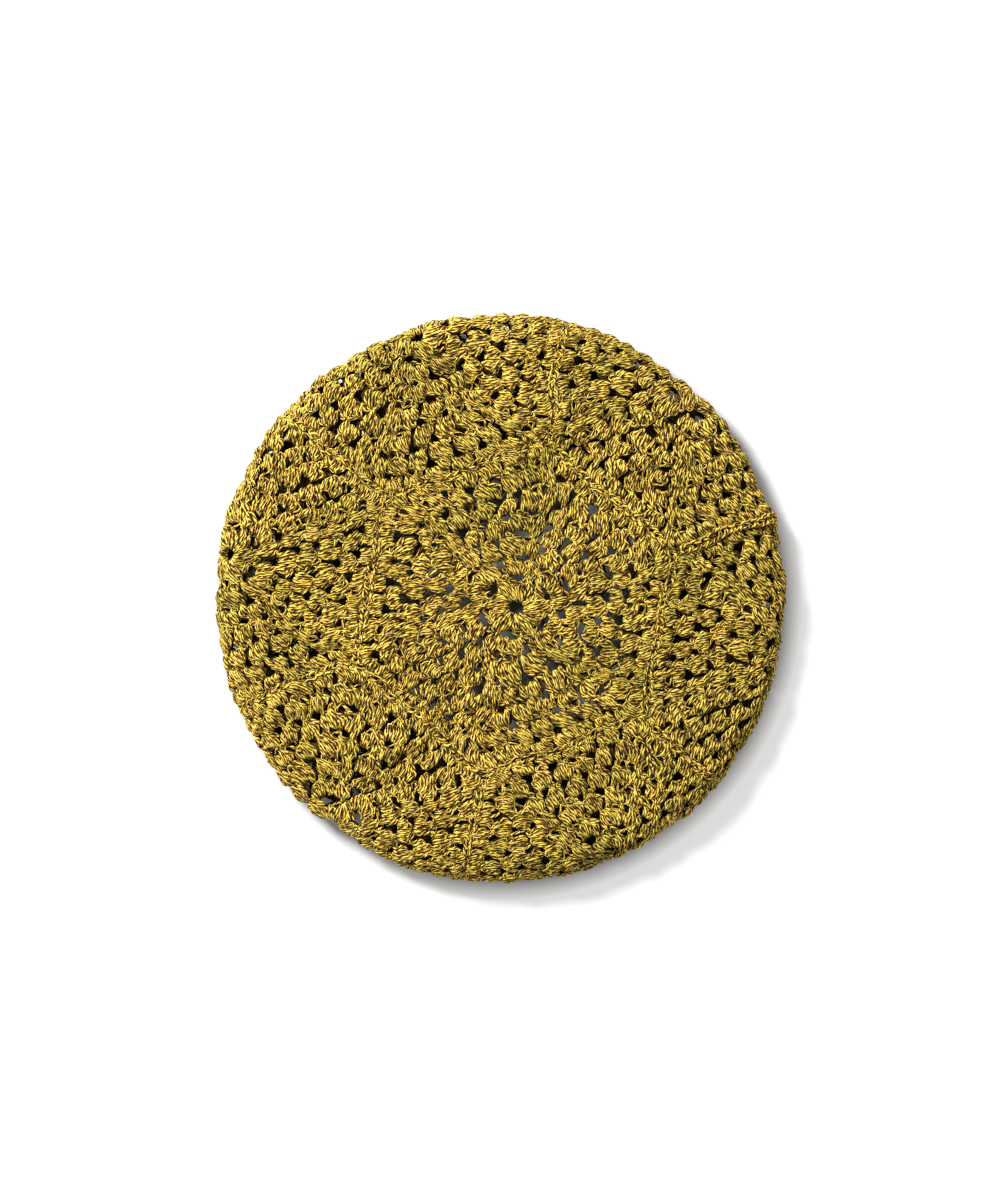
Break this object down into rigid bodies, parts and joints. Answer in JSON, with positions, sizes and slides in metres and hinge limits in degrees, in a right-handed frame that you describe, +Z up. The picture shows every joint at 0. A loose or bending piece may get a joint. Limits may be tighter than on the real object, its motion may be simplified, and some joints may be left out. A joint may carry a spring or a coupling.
{
  "type": "crocheted tam",
  "caption": "Round slouchy crocheted hat of joined hexagon motifs, laid flat with its crown up, hollow, with a head opening underneath.",
  "frame": {"origin": "on the surface that the tam lies on, below the middle of its round outline", "axes": "+Z up through the crown; +Y is away from the wearer's side of a flat lay (the top of the picture), +X to its right"},
  "size_m": [0.29, 0.2897, 0.0303],
  "materials": {
    "crown_yarn": "plied mustard and olive-gold yarn, matt",
    "side_yarn": "plied mustard and olive-gold yarn, matt",
    "join_yarn": "plied olive-gold yarn, matt",
    "band_yarn": "plied olive-gold yarn, matt"
  },
  "bodies": {
    "root": {"crown_hexagon": "crown_yarn", "crown_join": "join_yarn", "side_hexagon_1": "side_yarn", "side_hexagon_2": "side_yarn", "side_hexagon_3": "side_yarn", "side_hexagon_4": "side_yarn", "side_hexagon_5": "side_yarn", "side_hexagon_6": "side_yarn", "side_join_1": "join_yarn", "side_join_2": "join_yarn", "side_join_3": "join_yarn", "side_join_4": "join_yarn", "side_join_5": "join_yarn", "side_join_6": "join_yarn", "headband": "band_yarn"}
  },
  "joints": []
}
